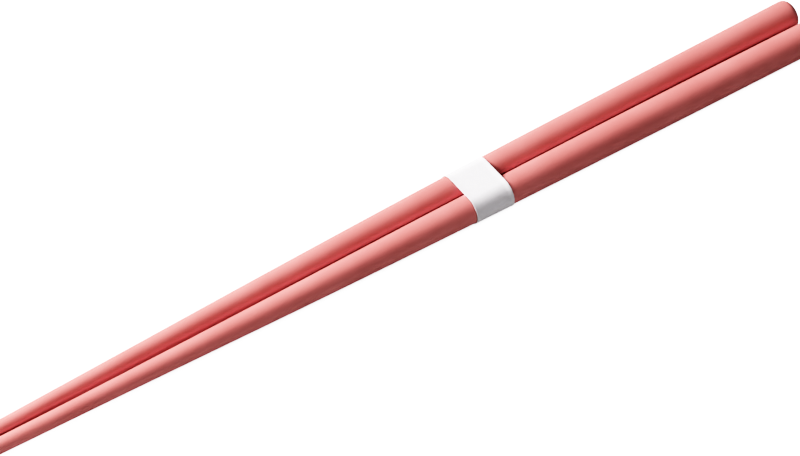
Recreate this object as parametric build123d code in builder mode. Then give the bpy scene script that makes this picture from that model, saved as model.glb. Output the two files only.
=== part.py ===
from build123d import *

import os
from math import atan, degrees

# A pair of round ceramic chopsticks, packed side by side in a band of plain paper.
# They lie on a table with their butts toward +X and their tips toward -X.
# The origin is on the table, below the middle of the pair, and all lengths are in millimetres.

# One chopstick, measured along its axis from the butt end
stick_length = 240.0
shank_diameter = 7.9
shank_length = 26.5
belly_share = 0.567
belly_diameter = 6.23
neck_share = 0.867
neck_diameter = 4.03
tip_diameter = 3.45
butt_rounding = 1.0
tip_rounding = 1.3
taper_cones = 16

# How the two lie: they touch under the band and stand apart at their butts
touch_gap = 0.05
butt_gap = 1.0

# The paper band, glued to itself below the pair
paper_thickness = 0.14
band_width = 10.4
band_distance = 98.0
wrap_clearance = 0.02
lap_margin = 0.5
lap_ramp = 1.0

# The side of a chopstick, from the full shank over the belly to the slim tip.
# X is the distance from the butt end, Y the radius.
belly_point = Vector(belly_share * stick_length, belly_diameter / 2)
neck_point = Vector(neck_share * stick_length, neck_diameter / 2)
tip_point = Vector(stick_length, tip_diameter / 2)
with BuildLine() as stick_side:
    shank_side = Line((0, shank_diameter / 2), (shank_length, shank_diameter / 2))
    taper_side = Spline(
        shank_side @ 1,
        belly_point,
        neck_point,
        tip_point,
        tangents=(shank_side % 1, tip_point - neck_point),
    )


def stick_radius(distance):
    """Radius of a chopstick at a distance from its butt end."""
    station = Axis((distance, 0, 0), (0, 1, 0))
    crossings = [point for edge in stick_side.edges() for point in edge.find_intersection_points(station)]
    return max(point.Y for point in crossings)


# The two axes draw together from the butts toward the tips
butt_x = stick_length / 2
butt_reach = shank_diameter / 2 + butt_gap / 2
band_reach = stick_radius(band_distance) + touch_gap / 2
toe_slope = (butt_reach - band_reach) / band_distance
toe_angle = degrees(atan(toe_slope))

# The pair lies on its shanks and on the doubled paper below the band's butt side
band_x = butt_x - band_distance
band_seat = stick_radius(band_distance - band_width / 2) + wrap_clearance + 2 * paper_thickness
axis_height = max(shank_diameter / 2, band_seat)

os.makedirs("parts", exist_ok=True)

# The chopsticks: one side turned round its own axis, once to each side of the middle.
# The taper is turned as short cones, which leave its curve by less than a hundredth of a millimetre.
for name, hand in (("left_chopstick", -1), ("right_chopstick", 1)):
    butt_plane = Plane(
        origin=(butt_x, hand * butt_reach, axis_height),
        x_dir=Vector(-1, 0, 0).rotate(Axis.Z, hand * toe_angle),
        z_dir=Vector(0, 1, 0).rotate(Axis.Z, hand * toe_angle),
    )
    with BuildPart() as chopstick:
        with BuildSketch(butt_plane):
            with BuildLine():
                Polyline(shank_side @ 0, *[taper_side @ (cut / taper_cones) for cut in range(taper_cones + 1)])
                Polyline(tip_point, (stick_length, 0), (0, 0), shank_side @ 0)
            make_face()
        revolve(axis=Axis(butt_plane.origin, butt_plane.x_dir))
        fillet(chopstick.faces().sort_by(Axis.X)[-1].edges(), radius=butt_rounding)
        fillet(chopstick.faces().sort_by(Axis.X)[0].edges(), radius=tip_rounding)
    chopstick.part.label = name
    export_step(chopstick.part, f"parts/{name}.step")

# The band: the paper seen end on at the band's butt side, where the sticks are thickest
band_edge = Plane(
    origin=(band_x + band_width / 2, 0, axis_height),
    x_dir=(0, 1, 0),
    z_dir=(1, 0, 0),
)
reach = butt_reach - toe_slope * (band_distance - band_width / 2)
inside = stick_radius(band_distance - band_width / 2) + wrap_clearance
outside = inside + paper_thickness
lapped = outside + paper_thickness
lap_start = lap_margin - reach
ramp_end = reach - lap_margin
lap_end = ramp_end - lap_ramp
with BuildPart() as paper_band:
    with BuildSketch(band_edge):
        # Outer face, with the strip's outer end lapped under its start
        with BuildLine():
            Polyline(
                (-reach, -outside),
                (lap_start, -outside),
                (lap_start, -lapped),
                (lap_end, -lapped),
                (ramp_end, -outside),
                (reach, -outside),
            )
            ThreePointArc((reach, -outside), (reach + outside, 0), (reach, outside))
            Line((reach, outside), (-reach, outside))
            ThreePointArc((-reach, outside), (-reach - outside, 0), (-reach, -outside))
        make_face()
        # Inner face, with the strip's inner end standing in the ramp's hollow
        with BuildLine():
            Polyline(
                (-reach, -inside),
                (lap_end, -inside),
                (lap_end, -outside),
                (ramp_end, -inside),
                (reach, -inside),
            )
            ThreePointArc((reach, -inside), (reach + inside, 0), (reach, inside))
            Line((reach, inside), (-reach, inside))
            ThreePointArc((-reach, inside), (-reach - inside, 0), (-reach, -inside))
        make_face(mode=Mode.SUBTRACT)
    extrude(amount=-band_width)
paper_band.part.label = "paper_band"
export_step(paper_band.part, "parts/paper_band.step")
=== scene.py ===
import math

import bmesh
import bpy
from mathutils import Matrix, Vector


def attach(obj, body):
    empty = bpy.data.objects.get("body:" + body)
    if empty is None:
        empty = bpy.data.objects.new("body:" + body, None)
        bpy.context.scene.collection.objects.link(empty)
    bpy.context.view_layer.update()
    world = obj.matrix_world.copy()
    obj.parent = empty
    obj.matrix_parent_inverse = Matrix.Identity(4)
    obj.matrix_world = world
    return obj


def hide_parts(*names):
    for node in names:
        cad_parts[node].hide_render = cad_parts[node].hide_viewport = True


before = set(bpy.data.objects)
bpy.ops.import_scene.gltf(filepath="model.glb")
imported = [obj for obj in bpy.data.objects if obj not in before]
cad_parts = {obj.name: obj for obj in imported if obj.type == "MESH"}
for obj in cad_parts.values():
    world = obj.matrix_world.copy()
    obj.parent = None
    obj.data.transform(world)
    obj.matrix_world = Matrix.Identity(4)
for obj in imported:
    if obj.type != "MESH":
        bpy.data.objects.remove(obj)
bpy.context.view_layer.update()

# Two round ceramic chopsticks, held together by a band of plain paper.
# They lie with their butts toward +X and their tips toward -X.
MM = 0.001

# One chopstick, measured from its butt end along its axis, in millimetres
STICK_LENGTH = 240.0
SHANK_RADIUS = 3.95
BUTT_ROUNDING = 1.9
TIP_ROUNDING = 1.3
# Stations of the side: distance, radius and slope of the smooth taper
SIDE = (
    (26.5, 3.95, 0.0),
    (136.08, 3.115, -0.01504),
    (208.08, 2.015, -0.01102),
    (240.0, 1.725, -0.00909),
)
TURNS = 128
SIDE_STEPS = 160
ROUNDING_STEPS = 12
# Share of the radius at which the butt's flat face has a ring of its own
FACE_RING = 0.5

# Where the two lie, in millimetres
BUTT_X = 120.0
BUTT_REACH = 4.45
AXIS_HEIGHT = 3.95
TOE_SLOPE = 0.008525
# How far each stick strays outward from a straight line, as fired clay does: distance and stray
LEFT_STRAY = ((0, 0), (60, 0), (100, 0.08), (150, 0.13), (186, -0.01), (214, -0.16), (240, -0.45))
RIGHT_STRAY = (
    (0, 0), (50, 0.02), (88, 0.18), (118, 0.19), (158, 0.12), (186, -0.05), (214, -0.32), (240, -0.72),
)

# The paper band, in millimetres
PAPER = 0.14
BAND_X = 22.0
BAND_WIDTH = 10.4
BAND_CLEARANCE = 0.02
LAP_MARGIN = 0.5
LAP_RAMP = 1.0
LAP_SHELF = 0.125
PLY_GAP = 0.012
# The strip's edges stand off the glaze a little, except underneath: how far, and over what width
BUTT_SIDE_LIFT = 0.12
TIP_SIDE_LIFT = 0.05
LIFT_WIDTH = 1.4
# Cuts across the strip, and points along it
BAND_COLUMNS = 40
BEND_STEPS = 96
TOP_STEPS = 32
LAP_STEPS = 24
RAMP_STEPS = 8
RAMP_APPROACH_STEPS = 4

# Edges of a mesh that turn further than this stay sharp, in degrees
SHARP_ANGLE = 40.0

# The glaze: base colours are linear, heights and reaches are in metres
GLAZE_DEEP = (0.606, 0.202, 0.190)
GLAZE_PALE = (0.655, 0.231, 0.219)
GLAZE_CLOUD_SCALE = 90.0
GLAZE_WAVE_SCALE = 700.0
GLAZE_GRAIN_SCALE = 2600.0
GLAZE_DETAIL = 2.0
GLAZE_WAVE_HEIGHT = 0.00002
GLAZE_GRAIN_HEIGHT = 0.000012
GLAZE_ROUGHNESS = 0.60
GLAZE_ROUGHNESS_RANGE = 0.03
GLAZE_IOR = 1.5
GLAZE_SPECULAR = 0.39
# Painted reflection: where the sticks face each other, the glaze is painted paler for the light they throw
# back
GLAZE_PAINTED_REFLECTION = (0.70, 0.29, 0.30)
PAINTED_REFLECTION_REACH = 0.004
PAINTED_REFLECTION_CLOSED = 0.45
PAINTED_REFLECTION_OPEN = 0.75
# Painted shade: the dark painted into the crevice between the sticks, and how wide it reaches at each X, both
# in millimetres
GLAZE_PAINTED_SHADE = (0.18, 0.025, 0.018)
PAINTED_SHADE_REACH = (
    (-120, 1.0), (-108, 1.15), (-96, 1.45), (-84, 1.55), (-63, 1.62), (-45, 1.52), (-25, 1.32),
    (-5, 1.18), (20, 1.03), (40, 1.04), (56, 1.1), (72, 1.24), (88, 1.38), (104, 1.52), (120, 1.55),
)
PAINTED_SHADE_MOST = 2.0
PAINTED_SHADE_CLOSED = 0.36
PAINTED_SHADE_OPEN = 0.56
# Painted shade: the dark hair line painted on the glaze along the paper's edges
PAINTED_EDGE_SHADE_REACH = 0.0004
PAINTED_EDGE_SHADE_CLOSED = 0.55
PAINTED_EDGE_SHADE_OPEN = 0.93

# The paper: base colours are linear, heights are in metres
PAPER_DEEP = (0.744, 0.716, 0.734)
PAPER_PALE = (0.776, 0.748, 0.768)
PAPER_CLOUD_SCALE = 900.0
PAPER_CLOUD_DETAIL = 4.0
PAPER_FIBRE_SCALE = 9000.0
PAPER_FIBRE_DETAIL = 3.0
PAPER_FIBRE_SQUEEZE = (1.0, 0.25, 0.25)
PAPER_FIBRE_HEIGHT = 0.00002
PAPER_NOISE_ROUGHNESS = 0.6
PAPER_ROUGHNESS = 0.85
PAPER_SPECULAR = 0.3

# The noise levels between which a material goes from its first to its second look
NOISE_LOW = 0.3
NOISE_HIGH = 0.7
OPENNESS_SAMPLES = 12
# Sockets of the colour mix node
MIX_FIRST = 6
MIX_SECOND = 7
MIX_RESULT = 2

# The floor that is seen, in metres: it glows, and its glow is darkened by painted shade only close under the
# object
SEEN_FLOOR_HEIGHT = -0.00002
BACKDROP_REACH = 12.0
BACKDROP_HEIGHT = 6.0
BACKDROP_TURNS = 64
FLOOR_MATT = 0.30
FLOOR_GLOW = 3.1
FLOOR_SHADE = 0.3
FLOOR_CONTACT = 0.010
FLOOR_CLOSED = 0.10
FLOOR_OPEN = 0.32
# The floor that lights the object from below, which the camera doesn't see
BOUNCE_FLOOR_HEIGHT = -0.00004
BOUNCE_FLOOR_SIDE = 3.0
BOUNCE = 0.62

# Lights: name, direction, distance in metres, size in metres, watts
LIGHTS = (
    ("key", (-0.9, 0.69, 0.72), 2.0, 1.0, 156.0),
    ("top", (-0.8, 0.1, 0.6), 0.5, 0.25, 1.6),
    ("fill", (0.35, -0.05, 0.8), 0.6, 0.3, 0.36),
)
WORLD = 0.18

# The camera: angles in degrees, distance in metres, the picture in pixels.
# The middle of the band is seen at the aim pixel.
CAMERA_TURN = 34.70
CAMERA_HEIGHT = 47.95
CAMERA_DISTANCE = 0.821
PICTURE = (800, 456)
FOCAL_PIXELS = 3500.0
AIM_PIXEL = (477.6, 190.8)
SENSOR_WIDTH = 36.0
CLIP_START = 0.01

# The film curve, which all three colours share
FILM_CONTRAST = 1.89
FILM_SHOULDER = 0.587
FILM_WHITE = 2.9
FILM_STEPS = 24
ALL_COLOURS = 3


def hermite(x, x0, y0, slope0, x1, y1, slope1):
    """The smooth curve from one point and slope to the next."""
    span = x1 - x0
    u = (x - x0) / span
    return (
        (2 * u ** 3 - 3 * u ** 2 + 1) * y0
        + (u ** 3 - 2 * u ** 2 + u) * span * slope0
        + (3 * u ** 2 - 2 * u ** 3) * y1
        + (u ** 3 - u ** 2) * span * slope1
    )


def side_radius(distance):
    """Radius of a chopstick at a distance from its butt end, all in millimetres."""
    if distance <= SIDE[0][0]:
        return SHANK_RADIUS
    for (x0, r0, m0), (x1, r1, m1) in zip(SIDE, SIDE[1:]):
        if distance <= x1:
            return hermite(distance, x0, r0, m0, x1, r1, m1)
    return SIDE[-1][1]


def stray(hand, distance):
    """How far a chopstick lies outside its straight line, on one smooth curve through its stations."""
    stations = LEFT_STRAY if hand < 0 else RIGHT_STRAY
    last = len(stations) - 1
    slopes = []
    for index in range(last + 1):
        before, after = stations[max(index - 1, 0)], stations[min(index + 1, last)]
        slopes.append((after[1] - before[1]) / (after[0] - before[0]))
    slopes[0] = 0.0
    for index in range(last):
        (x0, y0), (x1, y1) = stations[index], stations[index + 1]
        if distance <= x1:
            return hermite(distance, x0, y0, slopes[index], x1, y1, slopes[index + 1])
    return stations[-1][1]


def new_object(name, vertices, faces, material):
    mesh = bpy.data.meshes.new(name)
    mesh.from_pydata(vertices, [], faces)
    mesh.validate()
    mesh.shade_smooth()
    mesh.set_sharp_from_angle(angle=math.radians(SHARP_ANGLE))
    mesh.materials.append(material)
    made = bpy.data.objects.new(name, mesh)
    bpy.context.scene.collection.objects.link(made)
    return made


def new_material(name):
    material = bpy.data.materials.new(name)
    material.use_nodes = True
    nodes, links = material.node_tree.nodes, material.node_tree.links
    nodes.clear()
    output = nodes.new("ShaderNodeOutputMaterial")
    return material, nodes, links, output.inputs["Surface"]


def principled(nodes, links, surface):
    shader = nodes.new("ShaderNodeBsdfPrincipled")
    links.new(shader.outputs["BSDF"], surface)
    return shader


def noise(nodes, links, source, scale, detail, roughness=0.5):
    node = nodes.new("ShaderNodeTexNoise")
    node.inputs["Scale"].default_value = scale
    node.inputs["Detail"].default_value = detail
    node.inputs["Roughness"].default_value = roughness
    links.new(source, node.inputs["Vector"])
    return node.outputs["Fac"]


def spread(nodes, links, value, low, high, start=NOISE_LOW, end=NOISE_HIGH):
    """Turns a value's range from start to end into one from low to high."""
    node = nodes.new("ShaderNodeMapRange")
    node.inputs["From Min"].default_value = start
    node.inputs["From Max"].default_value = end
    node.inputs["To Min"].default_value = low
    node.inputs["To Max"].default_value = high
    links.new(value, node.inputs["Value"])
    return node.outputs["Result"]


def tint(nodes, links, amount, first, second):
    """Mixes two colours, each given as three numbers or as another node's output."""
    node = nodes.new("ShaderNodeMix")
    node.data_type = "RGBA"
    for socket, colour in ((node.inputs[MIX_FIRST], first), (node.inputs[MIX_SECOND], second)):
        if isinstance(colour, tuple):
            socket.default_value = (*colour, 1.0)
        else:
            links.new(colour, socket)
    links.new(amount, node.inputs["Factor"])
    return node.outputs[MIX_RESULT]


def openness(nodes, links, reach, closed, opened):
    """Nought where other surfaces close in within the reach, one where the surface lies open."""
    node = nodes.new("ShaderNodeAmbientOcclusion")
    node.samples = OPENNESS_SAMPLES
    if isinstance(reach, float):
        node.inputs["Distance"].default_value = reach
    else:
        links.new(reach, node.inputs["Distance"])
    return spread(nodes, links, node.outputs["AO"], 0.0, 1.0, closed, opened)


def bump(nodes, links, height, distance, below=None):
    node = nodes.new("ShaderNodeBump")
    node.inputs["Distance"].default_value = distance
    links.new(height, node.inputs["Height"])
    if below is not None:
        links.new(below, node.inputs["Normal"])
    return node.outputs["Normal"]


def painted_shade_reach(nodes, links, x):
    """The reach of the painted crevice shade at the object's own X, on one smooth curve through its stations.
    """
    share = spread(nodes, links, x, 0.0, 1.0, -BUTT_X * MM, BUTT_X * MM)
    node = nodes.new("ShaderNodeFloatCurve")
    line = node.mapping.curves[0]
    places = [((x / BUTT_X + 1) / 2, reach / PAINTED_SHADE_MOST) for x, reach in PAINTED_SHADE_REACH]
    line.points[0].location = places[0]
    line.points[1].location = places[-1]
    for place in places[1:-1]:
        line.points.new(*place)
    node.mapping.update()
    links.new(share, node.inputs["Value"])
    return spread(nodes, links, node.outputs["Value"], 0.0, PAINTED_SHADE_MOST * MM, 0.0, 1.0)


def glaze_material():
    """Satin coral glaze, softly clouded and finely grained, with a painted reflection that makes it paler and
    painted shade that makes it darker where it closes in.
    """
    material, nodes, links, surface = new_material("coral_glaze")
    shader = principled(nodes, links, surface)
    place = nodes.new("ShaderNodeTexCoord").outputs["Object"]
    cloud = noise(nodes, links, place, GLAZE_CLOUD_SCALE, GLAZE_DETAIL)
    grain = noise(nodes, links, place, GLAZE_GRAIN_SCALE, GLAZE_DETAIL)
    wave = noise(nodes, links, place, GLAZE_WAVE_SCALE, GLAZE_DETAIL)
    axes = nodes.new("ShaderNodeSeparateXYZ")
    links.new(place, axes.inputs["Vector"])
    colour = tint(nodes, links, spread(nodes, links, cloud, 0.0, 1.0), GLAZE_DEEP, GLAZE_PALE)
    # Painted light: a paler painted reflection where the sticks face each other, then painted shade in the
    # crevice and along the paper's edges.
    for painted_colour, reach, closed, opened in (
        (GLAZE_PAINTED_REFLECTION, PAINTED_REFLECTION_REACH, PAINTED_REFLECTION_CLOSED, PAINTED_REFLECTION_OPEN),
        (GLAZE_PAINTED_SHADE, painted_shade_reach(nodes, links, axes.outputs["X"]), PAINTED_SHADE_CLOSED, PAINTED_SHADE_OPEN),
        (GLAZE_PAINTED_SHADE, PAINTED_EDGE_SHADE_REACH, PAINTED_EDGE_SHADE_CLOSED, PAINTED_EDGE_SHADE_OPEN),
    ):
        colour = tint(nodes, links, openness(nodes, links, reach, closed, opened), painted_colour, colour)
    links.new(colour, shader.inputs["Base Color"])
    smoothest, roughest = GLAZE_ROUGHNESS - GLAZE_ROUGHNESS_RANGE, GLAZE_ROUGHNESS + GLAZE_ROUGHNESS_RANGE
    links.new(spread(nodes, links, grain, smoothest, roughest), shader.inputs["Roughness"])
    coarse = bump(nodes, links, wave, GLAZE_WAVE_HEIGHT)
    links.new(bump(nodes, links, grain, GLAZE_GRAIN_HEIGHT, below=coarse), shader.inputs["Normal"])
    shader.inputs["IOR"].default_value = GLAZE_IOR
    shader.inputs["Specular IOR Level"].default_value = GLAZE_SPECULAR
    return material


def paper_material():
    """Uncoated white paper, a little cloudy, with fibres that run around the band."""
    material, nodes, links, surface = new_material("plain_paper")
    shader = principled(nodes, links, surface)
    place = nodes.new("ShaderNodeTexCoord").outputs["Object"]
    cloud = noise(nodes, links, place, PAPER_CLOUD_SCALE, PAPER_CLOUD_DETAIL, PAPER_NOISE_ROUGHNESS)
    squeezed = nodes.new("ShaderNodeMapping")
    squeezed.inputs["Scale"].default_value = PAPER_FIBRE_SQUEEZE
    links.new(place, squeezed.inputs["Vector"])
    fibre_place = squeezed.outputs["Vector"]
    fibre = noise(nodes, links, fibre_place, PAPER_FIBRE_SCALE, PAPER_FIBRE_DETAIL, PAPER_NOISE_ROUGHNESS)
    colour = tint(nodes, links, spread(nodes, links, cloud, 0.0, 1.0), PAPER_DEEP, PAPER_PALE)
    links.new(colour, shader.inputs["Base Color"])
    shader.inputs["Roughness"].default_value = PAPER_ROUGHNESS
    shader.inputs["Specular IOR Level"].default_value = PAPER_SPECULAR
    links.new(bump(nodes, links, fibre, PAPER_FIBRE_HEIGHT), shader.inputs["Normal"])
    return material


def stick_outline():
    """The side of a chopstick as (distance, radius) pairs, from the middle of its butt face to its tip's."""
    points = [(0.0, 0.0), (0.0, SHANK_RADIUS * FACE_RING)]
    for step in range(ROUNDING_STEPS + 1):
        turn = math.radians(90) * step / ROUNDING_STEPS
        inset = BUTT_ROUNDING * (1 - math.sin(turn))
        points.append((BUTT_ROUNDING * (1 - math.cos(turn)), SHANK_RADIUS - inset))
    last = STICK_LENGTH - TIP_ROUNDING
    for step in range(1, SIDE_STEPS + 1):
        distance = BUTT_ROUNDING + (last - BUTT_ROUNDING) * step / SIDE_STEPS
        points.append((distance, side_radius(distance)))
    end_radius = side_radius(last)
    for step in range(1, ROUNDING_STEPS + 1):
        turn = math.radians(90) * step / ROUNDING_STEPS
        inset = TIP_ROUNDING * (1 - math.cos(turn))
        points.append((last + TIP_ROUNDING * math.sin(turn), end_radius - inset))
    points.append((STICK_LENGTH, 0.0))
    return points


def make_stick(name, node, hand, material):
    """One chopstick on its node, as rings round its own axis; hand is -1 for the left and 1 for the right."""
    along = Vector((-1.0, -hand * TOE_SLOPE, 0.0)).normalized()
    across = Vector((0.0, 0.0, 1.0)).cross(along)
    butt = Vector((BUTT_X, hand * BUTT_REACH, AXIS_HEIGHT))
    vertices, rings = [], []
    for distance, radius in stick_outline():
        centre = butt + along * distance + Vector((0.0, hand * stray(hand, distance), 0.0))
        if radius == 0.0:
            rings.append([len(vertices)] * TURNS)
            vertices.append(centre * MM)
            continue
        rings.append(list(range(len(vertices), len(vertices) + TURNS)))
        for turn in range(TURNS):
            angle = 2 * math.pi * turn / TURNS
            spoke = math.cos(angle) * across + Vector((0, 0, math.sin(angle)))
            vertices.append((centre + radius * spoke) * MM)
    faces = []
    for ring, following in zip(rings, rings[1:]):
        for turn in range(TURNS):
            after = (turn + 1) % TURNS
            corners = [ring[turn], ring[after], following[after], following[turn]]
            faces.append(list(dict.fromkeys(corners)))
    made = new_object(name, vertices, faces, material)
    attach(made, "root")
    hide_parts(node)


def ease(share):
    """Smooth step from nought to one."""
    share = min(1.0, max(0.0, share))
    return share * share * (3 - 2 * share)


def edge_lift(offset):
    """How far the strip stands off the glaze at an offset from its middle line, positive toward the butts."""
    most = BUTT_SIDE_LIFT if offset > 0 else TIP_SIDE_LIFT
    return most * ease(1 - (BAND_WIDTH / 2 - abs(offset)) / LIFT_WIDTH)


def band_path(x):
    """The middle of the paper strip cut across at x, as points from its inner to its outer end."""
    distance = BUTT_X - x
    straight_reach = BUTT_REACH - TOE_SLOPE * distance
    left = -straight_reach - stray(-1, distance)
    right = straight_reach + stray(1, distance)
    middle = side_radius(distance) + BAND_CLEARANCE + PAPER / 2
    lift = edge_lift(x - BAND_X)
    outer = middle + PAPER
    lap_start = left + LAP_MARGIN
    ramp_end = right - LAP_MARGIN
    lap_end = ramp_end - LAP_RAMP
    path = []

    def straight(start, end, steps):
        for step in range(steps):
            share = step / steps
            path.append((start[0] + (end[0] - start[0]) * share, start[1] + (end[1] - start[1]) * share))

    def bend(centre, start, end):
        for step in range(BEND_STEPS):
            turn = math.radians(start + (end - start) * step / BEND_STEPS)
            raised = middle + lift * ease(1 + math.sin(turn))
            path.append((centre + raised * math.cos(turn), raised * math.sin(turn)))

    straight((lap_end - PLY_GAP, -middle), (left, -middle), LAP_STEPS)
    bend(left, 270, 90)
    straight((left, middle + lift), (right, middle + lift), TOP_STEPS)
    bend(right, 90, -90)
    straight((right, -middle), (ramp_end, -middle), RAMP_APPROACH_STEPS)
    for step in range(RAMP_STEPS + 1):
        share = step / RAMP_STEPS
        path.append((ramp_end - LAP_RAMP * share, -middle - (outer - middle) * ease(share)))
    straight((lap_end - LAP_SHELF, -outer), (lap_start, -outer), LAP_STEPS)
    path.append((lap_start, -outer))
    return [Vector((x, y, AXIS_HEIGHT + z)) for y, z in path]


def make_band(material):
    """One strip of paper as a closed solid: for each cut across it, its inner and its outer face."""
    half = PAPER / 2 - PLY_GAP / 2
    rows = []
    for column in range(BAND_COLUMNS + 1):
        path = band_path(BAND_X + BAND_WIDTH * (column / BAND_COLUMNS - 0.5))
        inner, outer = [], []
        for index, point in enumerate(path):
            ahead = path[min(index + 1, len(path) - 1)] - path[max(index - 1, 0)]
            inward = Vector((0.0, ahead.z, -ahead.y)).normalized()
            inner.append((point + inward * half) * MM)
            outer.append((point - inward * half) * MM)
        rows.append(inner + outer[::-1])
    loop = len(rows[0])
    vertices = [corner for row in rows for corner in row]
    faces = []
    for column in range(BAND_COLUMNS):
        here, there = column * loop, (column + 1) * loop
        for index in range(loop):
            after = (index + 1) % loop
            faces.append((here + index, here + after, there + after, there + index))
    for base in (0, BAND_COLUMNS * loop):
        for index in range(loop // 2 - 1):
            faces.append((base + index, base + index + 1, base + loop - 2 - index, base + loop - 1 - index))
    made = new_object("paper_wrap", vertices, faces, material)
    solid = bmesh.new()
    solid.from_mesh(made.data)
    bmesh.ops.recalc_face_normals(solid, faces=solid.faces)
    solid.to_mesh(made.data)
    solid.free()
    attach(made, "root")
    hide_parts("paper_band")


def seen_floor_material():
    """Matt and glowing white, with painted shade darkening the glow close to the object."""
    material, nodes, links, surface = new_material("pale_floor")
    matt = nodes.new("ShaderNodeBsdfDiffuse")
    matt.inputs["Color"].default_value = (FLOOR_MATT, FLOOR_MATT, FLOOR_MATT, 1)
    glow = nodes.new("ShaderNodeEmission")
    # Painted contact shade: the glow dims where the object closes in over the floor.
    open_share = openness(nodes, links, FLOOR_CONTACT, FLOOR_CLOSED, FLOOR_OPEN)
    links.new(spread(nodes, links, open_share, FLOOR_SHADE, FLOOR_GLOW, 0.0, 1.0), glow.inputs["Strength"])
    both = nodes.new("ShaderNodeAddShader")
    links.new(matt.outputs[0], both.inputs[0])
    links.new(glow.outputs[0], both.inputs[1])
    links.new(both.outputs[0], surface)
    return material


def make_seen_floor():
    """A round pale floor with an upright wall far away, so that a low view shows no horizon."""
    foot, top = [], []
    for turn in range(BACKDROP_TURNS):
        angle = 2 * math.pi * turn / BACKDROP_TURNS
        x, y = BACKDROP_REACH * math.cos(angle), BACKDROP_REACH * math.sin(angle)
        foot.append((x, y, SEEN_FLOOR_HEIGHT))
        top.append((x, y, BACKDROP_HEIGHT))
    faces = [tuple(range(BACKDROP_TURNS))]
    for turn in range(BACKDROP_TURNS):
        after = (turn + 1) % BACKDROP_TURNS
        faces.append((turn, BACKDROP_TURNS + turn, BACKDROP_TURNS + after, after))
    floor = new_object("floor", foot + top, faces, seen_floor_material())
    floor.visible_diffuse = False
    floor.visible_glossy = False
    floor.visible_shadow = False


def make_bounce_floor():
    """A plain matt plane just below the seen floor, which throws light back at the object."""
    material, nodes, links, surface = new_material("bounce_floor")
    shader = principled(nodes, links, surface)
    shader.inputs["Base Color"].default_value = (BOUNCE, BOUNCE, BOUNCE, 1)
    shader.inputs["Roughness"].default_value = 1.0
    half = BOUNCE_FLOOR_SIDE / 2
    square = ((-half, -half), (half, -half), (half, half), (-half, half))
    corners = [(x, y, BOUNCE_FLOOR_HEIGHT) for x, y in square]
    floor = new_object("bounce_floor", corners, [(0, 1, 2, 3)], material)
    floor.visible_camera = False


def make_light(name, source, distance, size, watts):
    """A round soft light in a direction from the middle of the pair, turned toward it."""
    data = bpy.data.lights.new(name, "AREA")
    data.shape = "DISK"
    data.size = size
    data.energy = watts
    lamp = bpy.data.objects.new(name, data)
    place = Vector(source).normalized() * distance
    lamp.location = place
    lamp.rotation_euler = (-place).to_track_quat("-Z", "Y").to_euler()
    bpy.context.scene.collection.objects.link(lamp)


def make_world():
    world = bpy.data.worlds.new("studio")
    world.use_nodes = True
    background = world.node_tree.nodes["Background"]
    background.inputs["Color"].default_value = (1.0, 1.0, 1.0, 1)
    background.inputs["Strength"].default_value = WORLD
    bpy.context.scene.world = world


def make_camera():
    turn, height = math.radians(CAMERA_TURN), math.radians(CAMERA_HEIGHT)
    level = math.cos(height)
    forward = Vector((math.sin(turn) * level, math.cos(turn) * level, -math.sin(height)))
    right = Vector((math.cos(turn), -math.sin(turn), 0.0))
    up = right.cross(forward)
    ray = (
        forward
        + right * (AIM_PIXEL[0] - PICTURE[0] / 2) / FOCAL_PIXELS
        - up * (AIM_PIXEL[1] - PICTURE[1] / 2) / FOCAL_PIXELS
    )
    aim = Vector((BAND_X, 0.0, AXIS_HEIGHT)) * MM
    data = bpy.data.cameras.new("camera")
    data.sensor_fit = "HORIZONTAL"
    data.sensor_width = SENSOR_WIDTH
    data.lens = SENSOR_WIDTH * FOCAL_PIXELS / PICTURE[0]
    data.clip_start = CLIP_START
    camera = bpy.data.objects.new("camera", data)
    facing = Matrix((right, up, -forward)).transposed().to_4x4()
    camera.matrix_world = Matrix.Translation(aim - ray.normalized() * CAMERA_DISTANCE) @ facing
    bpy.context.scene.collection.objects.link(camera)
    bpy.context.scene.camera = camera


def film(value):
    """Share of white that the film shows for a brightness: dim light sinks, bright light rolls off."""
    return value ** FILM_CONTRAST / (value ** FILM_CONTRAST + FILM_SHOULDER)


def set_film():
    settings = bpy.context.scene.view_settings
    settings.view_transform = "Standard"
    settings.look = "None"
    settings.use_curve_mapping = True
    mapping = settings.curve_mapping
    mapping.white_level = (FILM_WHITE, FILM_WHITE, FILM_WHITE)
    curve = mapping.curves[ALL_COLOURS]
    for step in range(1, FILM_STEPS):
        value = FILM_WHITE * (step / FILM_STEPS) ** 2
        curve.points.new(value / FILM_WHITE, film(value) / film(FILM_WHITE))
    mapping.update()


glaze = glaze_material()
make_stick("left_stick", "left_chopstick", -1, glaze)
make_stick("right_stick", "right_chopstick", 1, glaze)
make_band(paper_material())
make_seen_floor()
make_bounce_floor()
make_world()
for light in LIGHTS:
    make_light(*light)
make_camera()
set_film()
